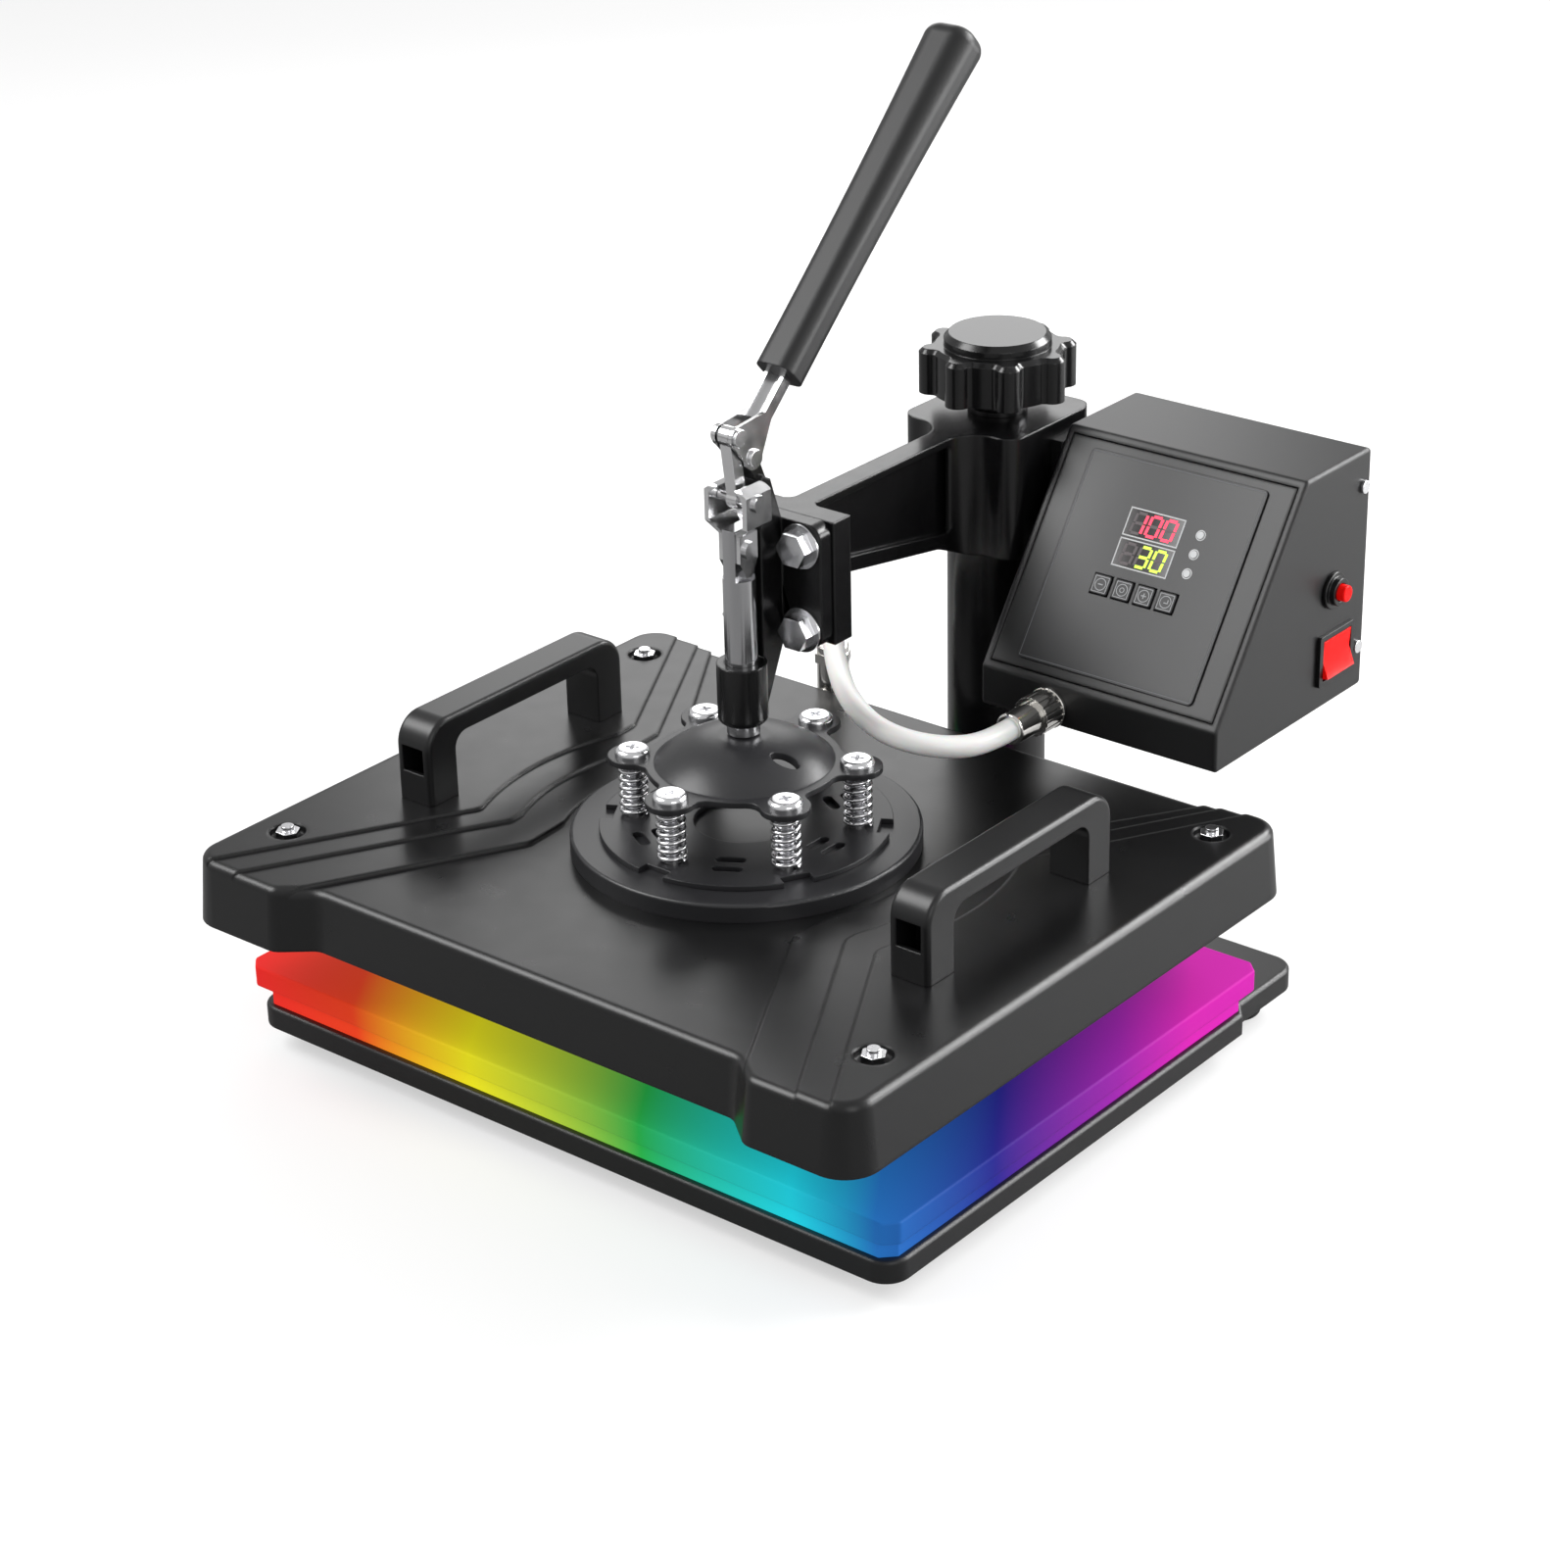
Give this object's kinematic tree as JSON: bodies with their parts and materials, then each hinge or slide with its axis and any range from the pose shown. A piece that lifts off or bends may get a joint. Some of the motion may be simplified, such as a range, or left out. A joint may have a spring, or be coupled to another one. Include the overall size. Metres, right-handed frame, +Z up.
{
  "type": "swing-away heat press",
  "caption": "Swing-away heat press: a flat heated platen on a spring-levelled mount is lowered by a toggle lever; a knob sets its height and a box with a sloping panel controls it.",
  "frame": {"origin": "centre of the bounding box in X and Y, at the bottom of the feet", "axes": "+Z up; +X to the operator's right, the side of the control box; +Y away from the operator, towards the post"},
  "size_m": [0.387, 0.4226, 0.4516],
  "materials": {
    "base_plate": "semi-gloss black powder coat",
    "rubber_feet": "matt",
    "base_bolts": "bright zinc",
    "lower_table": "dark satin coat",
    "silicone_pad": "matt silicone foam",
    "post_flange": "semi-gloss black powder coat",
    "post_bolts": "bright zinc",
    "post_tube": "semi-gloss black coat",
    "arm_bush": "plain turned",
    "pressure_spindle": "turned",
    "pressure_knob": "glossy black",
    "knob_set_screw": "bright",
    "swing_arm": "semi-gloss black coat on a casting",
    "clamp_body": "semi-gloss black coat on a casting",
    "clamp_bolts": "bright zinc",
    "box_shell": "fine-texture black coat",
    "box_panel": "fine-texture black coat",
    "panel_overlay": "printed film",
    "display_modules": "smoked red window",
    "indicator_lights": "unlit lens",
    "circuit_board": "green board",
    "box_back_cover": "fine-texture black coat",
    "box_screws": "bright zinc",
    "power_inlet": "moulded black",
    "box_bracket": "semi-gloss black coat",
    "bracket_bolts": "bright zinc",
    "reset_bezel": "moulded black",
    "rocker_bezel": "moulded black",
    "box_socket": "nickel plate",
    "cable_plug": "nickel plate",
    "heater_cable": "off-white silicone sheath",
    "lever_channel": "bright plate",
    "lever_grip": "moulded black",
    "lever_pins": "turned",
    "toggle_link": "bright plate",
    "clevis_pin": "turned",
    "plunger_clevis": "bright plate",
    "clevis_rivet": "turned",
    "plunger_rod": "ground and plated",
    "plunger_nut": "bright zinc",
    "spring_plate": "semi-gloss black coat",
    "shoulder_screws": "bright zinc",
    "pressure_springs": "bright spring wire",
    "notched_plate": "brushed",
    "mounting_disc": "semi-gloss black coat",
    "platen_cover": "semi-gloss black coat",
    "heating_plate": "dark non-stick coat",
    "heating_element": "annealed tube",
    "insulation_board": "pressed fibre",
    "corner_bolts": "bright zinc",
    "left_handle": "fine-grained black",
    "right_handle": "fine-grained black",
    "handle_screws": "bright zinc",
    "cable_gland": "nickel plate",
    "minus_key": "moulded key",
    "menu_key": "moulded key",
    "plus_key": "moulded key",
    "enter_key": "moulded key",
    "reset_button": "moulded red",
    "power_rocker": "translucent red"
  },
  "bodies": {
    "base": {"base_plate": "base_plate", "rubber_feet": "rubber_feet", "base_bolts": "base_bolts", "lower_table": "lower_table", "silicone_pad": "silicone_pad", "post_flange": "post_flange", "post_bolts": "post_bolts", "post_tube": "post_tube"},
    "lift": {"arm_bush": "arm_bush"},
    "knob": {"pressure_spindle": "pressure_spindle", "pressure_knob": "pressure_knob", "knob_set_screw": "knob_set_screw"},
    "arm": {"swing_arm": "swing_arm", "clamp_body": "clamp_body", "clamp_bolts": "clamp_bolts", "box_shell": "box_shell", "box_panel": "box_panel", "panel_overlay": "panel_overlay", "display_modules": "display_modules", "indicator_lights": "indicator_lights", "circuit_board": "circuit_board", "box_back_cover": "box_back_cover", "box_screws": "box_screws", "power_inlet": "power_inlet", "box_bracket": "box_bracket", "bracket_bolts": "bracket_bolts", "reset_bezel": "reset_bezel", "rocker_bezel": "rocker_bezel", "box_socket": "box_socket", "cable_plug": "cable_plug", "heater_cable": "heater_cable"},
    "lever": {"lever_channel": "lever_channel", "lever_grip": "lever_grip", "lever_pins": "lever_pins"},
    "link": {"toggle_link": "toggle_link", "clevis_pin": "clevis_pin"},
    "plunger": {"plunger_clevis": "plunger_clevis", "clevis_rivet": "clevis_rivet", "plunger_rod": "plunger_rod", "plunger_nut": "plunger_nut", "spring_plate": "spring_plate"},
    "platen": {"shoulder_screws": "shoulder_screws", "pressure_springs": "pressure_springs", "notched_plate": "notched_plate", "mounting_disc": "mounting_disc", "platen_cover": "platen_cover", "heating_plate": "heating_plate", "heating_element": "heating_element", "insulation_board": "insulation_board", "corner_bolts": "corner_bolts", "left_handle": "left_handle", "right_handle": "right_handle", "handle_screws": "handle_screws", "cable_gland": "cable_gland"},
    "minus_key": {"minus_key": "minus_key"},
    "menu_key": {"menu_key": "menu_key"},
    "plus_key": {"plus_key": "plus_key"},
    "enter_key": {"enter_key": "enter_key"},
    "reset_button": {"reset_button": "reset_button"},
    "power_rocker": {"power_rocker": "power_rocker"}
  },
  "joints": [
    {"name": "arm_lift", "type": "slide", "parent": "base", "child": "lift", "axis": [0, 0, 1], "range_m": [-0.004, 0.01]},
    {"name": "knob_turn", "type": "hinge", "parent": "lift", "child": "knob", "pos_m": [0, 0.15125, 0.262], "axis": [0, 0, 1], "range_deg": [-720, 1800]},
    {"name": "arm_swing", "type": "hinge", "parent": "lift", "child": "arm", "pos_m": [0, 0.15125, 0.222], "axis": [0, 0, 1], "range_deg": [-100, 100]},
    {"name": "lever_pull", "type": "hinge", "parent": "arm", "child": "lever", "pos_m": [0, -0.03575, 0.293], "axis": [1, 0, 0], "range_deg": [0, 132.6]},
    {"name": "link_swing", "type": "hinge", "parent": "lever", "child": "link", "pos_m": [0, -0.04603, 0.30526], "axis": [1, 0, 0], "range_deg": [-148.2, 0]},
    {"name": "plunger_slide", "type": "slide", "parent": "arm", "child": "plunger", "axis": [0, 0, -1], "range_m": [0, 0.02825]},
    {"name": "platen_float", "type": "slide", "parent": "plunger", "child": "platen", "axis": [0, 0, 1], "range_m": [0, 0.004], "stiffness_N_per_m": 30000, "springref_m": -0.004, "deforming": ["pressure_springs"]},
    {"name": "minus_key_press", "type": "slide", "parent": "arm", "child": "minus_key", "axis": [0, 0.8151, -0.5793], "range_m": [0, 0.0004], "stiffness_N_per_m": 500, "springref_m": -0.001},
    {"name": "menu_key_press", "type": "slide", "parent": "arm", "child": "menu_key", "axis": [0, 0.8151, -0.5793], "range_m": [0, 0.0004], "stiffness_N_per_m": 500, "springref_m": -0.001},
    {"name": "plus_key_press", "type": "slide", "parent": "arm", "child": "plus_key", "axis": [0, 0.8151, -0.5793], "range_m": [0, 0.0004], "stiffness_N_per_m": 500, "springref_m": -0.001},
    {"name": "enter_key_press", "type": "slide", "parent": "arm", "child": "enter_key", "axis": [0, 0.8151, -0.5793], "range_m": [0, 0.0004], "stiffness_N_per_m": 500, "springref_m": -0.001},
    {"name": "reset_press", "type": "slide", "parent": "arm", "child": "reset_button", "axis": [-1, 0, 0], "range_m": [0, 0.0025], "stiffness_N_per_m": 500, "springref_m": -0.002},
    {"name": "rocker_tip", "type": "hinge", "parent": "arm", "child": "power_rocker", "pos_m": [0.168, 0.18325, 0.1655], "axis": [0, 1, 0], "range_deg": [0, 16]}
  ],
  "couplings": [
    {"joint": "knob_turn", "follows": "arm_lift", "rad_per_m": 3141.6},
    {"joint": "link_swing", "follows": "lever_pull", "ratio": -1.117},
    {"joint": "plunger_slide", "follows": "lever_pull", "m_per_rad": 0.012185}
  ]
}
